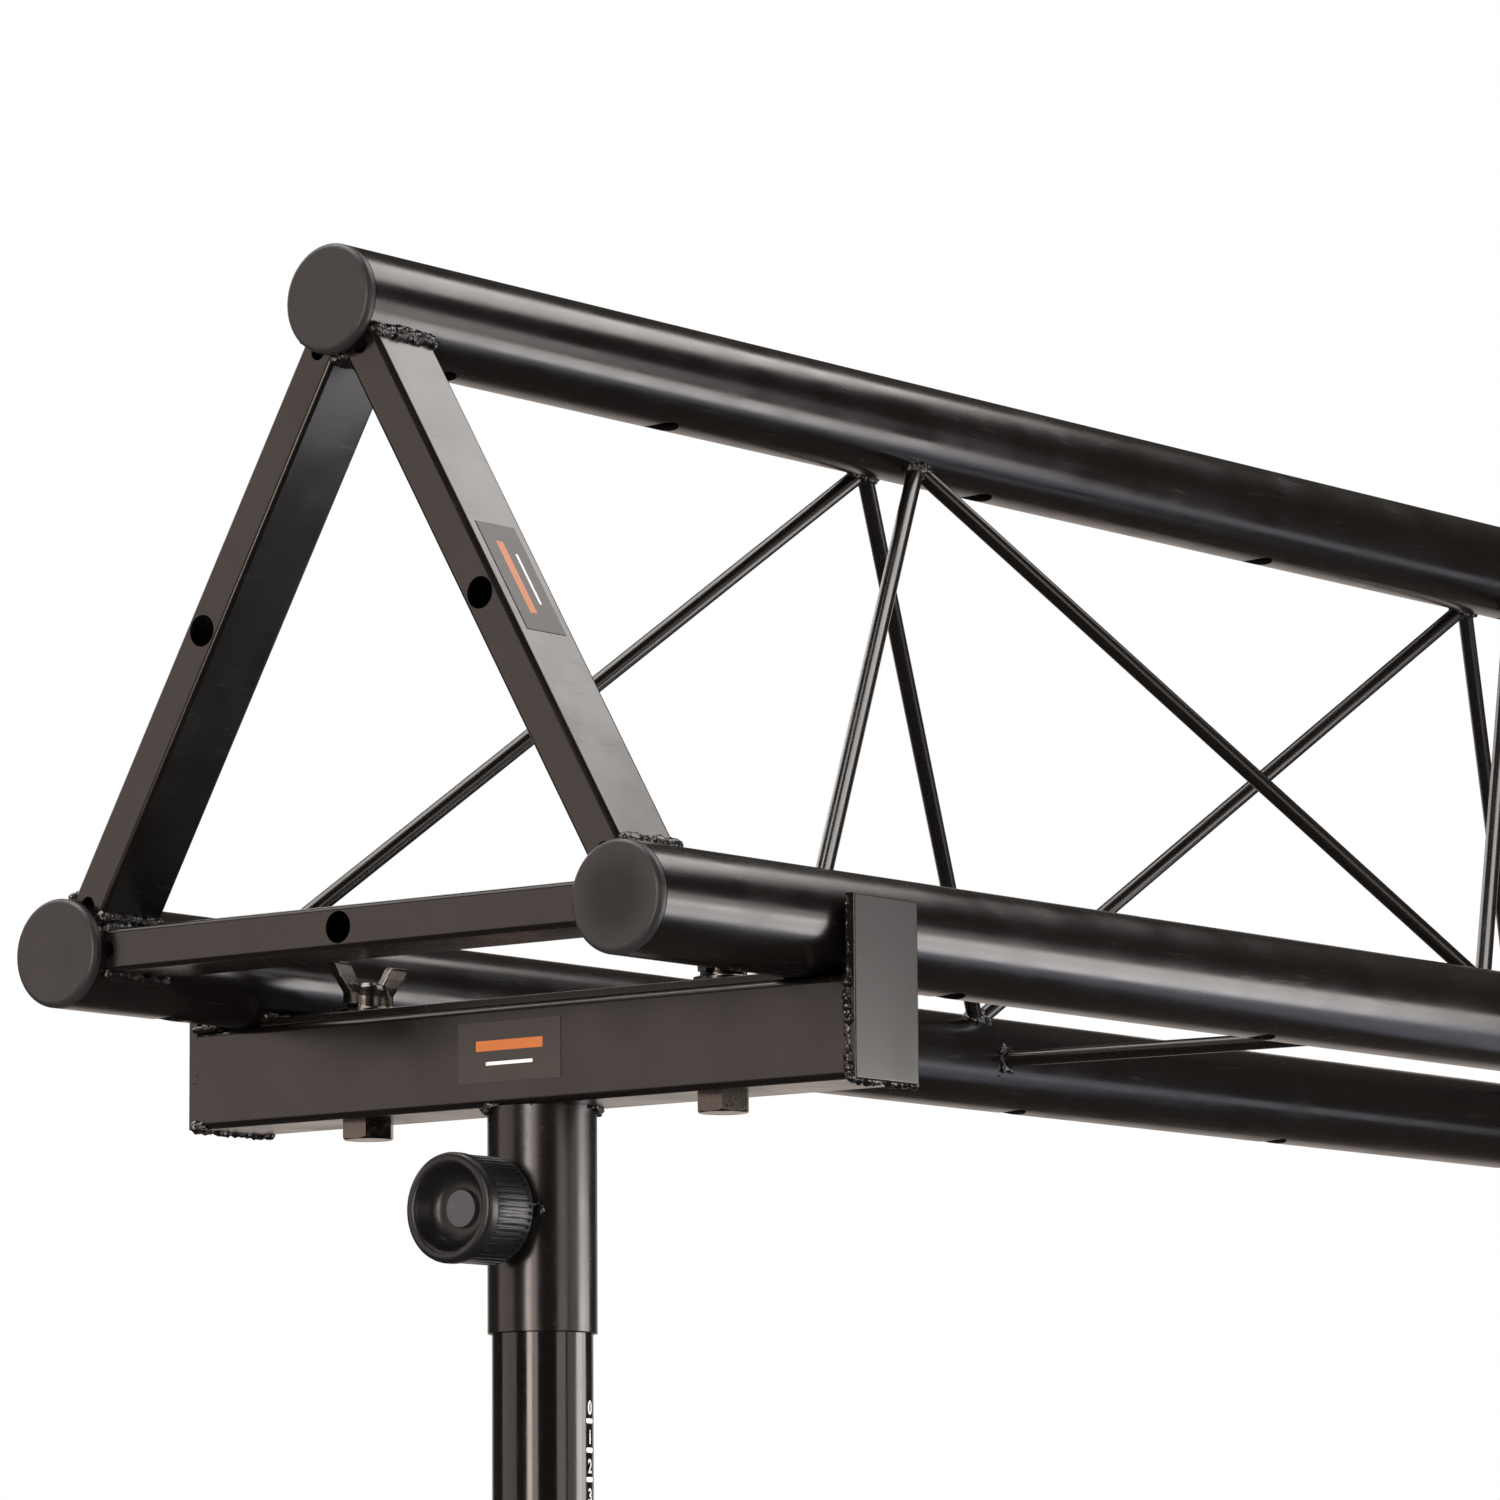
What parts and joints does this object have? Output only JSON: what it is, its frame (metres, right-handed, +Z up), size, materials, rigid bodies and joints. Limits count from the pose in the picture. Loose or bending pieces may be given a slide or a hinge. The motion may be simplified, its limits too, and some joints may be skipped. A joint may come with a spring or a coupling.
{
  "type": "lighting truss section",
  "caption": "Triangular tube truss section with rod lattice, open end frames and capped chords, bolted by wing nuts to a T-bar adapter clamped on a stand's mast.",
  "frame": {"origin": "centre of the mast's lower end", "axes": "+Z up the mast, +X along the truss away from the mast, +Y towards the rear chord"},
  "size_m": [1.5, 0.3, 0.6873],
  "materials": {
    "truss_coat": "satin black powder coat",
    "mast_coat": "gloss black",
    "cap_plastic": "matt dark grey",
    "knob_plastic": "textured black",
    "knob_insert": "matt grey",
    "black_zinc": "glossy black zinc",
    "brass": "plain",
    "label_vinyl": "blank grey vinyl"
  },
  "bodies": {
    "mast": {"mast_tube": "mast_coat"},
    "bridge": {"cap_front_far": "cap_plastic", "cap_front_near": "cap_plastic", "cap_rear_far": "cap_plastic", "cap_rear_near": "cap_plastic", "cap_top_far": "cap_plastic", "cap_top_near": "cap_plastic", "chord_front": "truss_coat", "chord_rear": "truss_coat", "chord_top": "truss_coat", "clamp_nut": "truss_coat", "crossbar": "truss_coat", "crossbar_bolts": "black_zinc", "end_plate_front": "truss_coat", "end_plate_rear": "truss_coat", "floor_tie_1": "truss_coat", "floor_tie_2": "truss_coat", "frame_bar_floor_far": "truss_coat", "frame_bar_floor_near": "truss_coat", "frame_bar_front_far": "truss_coat", "frame_bar_front_near": "truss_coat", "frame_bar_rear_far": "truss_coat", "frame_bar_rear_near": "truss_coat", "label_crossbar": "label_vinyl", "label_frame_bar": "label_vinyl", "mast_socket": "truss_coat", "strap_far": "truss_coat", "strap_near": "truss_coat", "strut_front_1": "truss_coat", "strut_front_2": "truss_coat", "strut_front_3": "truss_coat", "strut_front_4": "truss_coat", "strut_front_5": "truss_coat", "strut_front_6": "truss_coat", "strut_rear_1": "truss_coat", "strut_rear_2": "truss_coat", "strut_rear_3": "truss_coat", "strut_rear_4": "truss_coat", "strut_rear_5": "truss_coat", "strut_rear_6": "truss_coat"},
    "clamp_tip": {"clamp_pad": "brass"},
    "clamp_knob": {"knob": "knob_plastic", "knob_cap": "knob_insert", "clamp_screw": "black_zinc"},
    "washer_front": {"washer_front": "black_zinc"},
    "wing_nut_front": {"wing_nut_front": "black_zinc"},
    "washer_rear": {"washer_rear": "black_zinc"},
    "wing_nut_rear": {"wing_nut_rear": "black_zinc"}
  },
  "joints": [
    {"name": "mast_swivel", "type": "hinge", "parent": "mast", "child": "bridge", "pos_m": [0, 0, 0.4], "axis": [0, 0, 1], "continuous": true},
    {"name": "clamp_travel", "type": "slide", "parent": "bridge", "child": "clamp_tip", "axis": [-1, 0, 0], "range_m": [0, 0.003]},
    {"name": "knob_turn", "type": "hinge", "parent": "clamp_tip", "child": "clamp_knob", "pos_m": [-0.03, 0, 0.3633], "axis": [-1, 0, 0], "range_deg": [0, 720]},
    {"name": "washer_travel_front", "type": "slide", "parent": "bridge", "child": "washer_front", "axis": [0, 0, 1], "range_m": [0, 0.0075]},
    {"name": "wing_turn_front", "type": "hinge", "parent": "washer_front", "child": "wing_nut_front", "pos_m": [0, -0.08, 0.4403], "axis": [0, 0, 1], "range_deg": [0, 1800]},
    {"name": "washer_travel_rear", "type": "slide", "parent": "bridge", "child": "washer_rear", "axis": [0, 0, 1], "range_m": [0, 0.0075]},
    {"name": "wing_turn_rear", "type": "hinge", "parent": "washer_rear", "child": "wing_nut_rear", "pos_m": [0, 0.08, 0.4403], "axis": [0, 0, 1], "range_deg": [0, 1800]}
  ],
  "couplings": [
    {"joint": "clamp_travel", "follows": "knob_turn", "m_per_rad": 0.00023873},
    {"joint": "washer_travel_front", "follows": "wing_turn_front", "m_per_rad": 0.00023873},
    {"joint": "washer_travel_rear", "follows": "wing_turn_rear", "m_per_rad": 0.00023873}
  ]
}
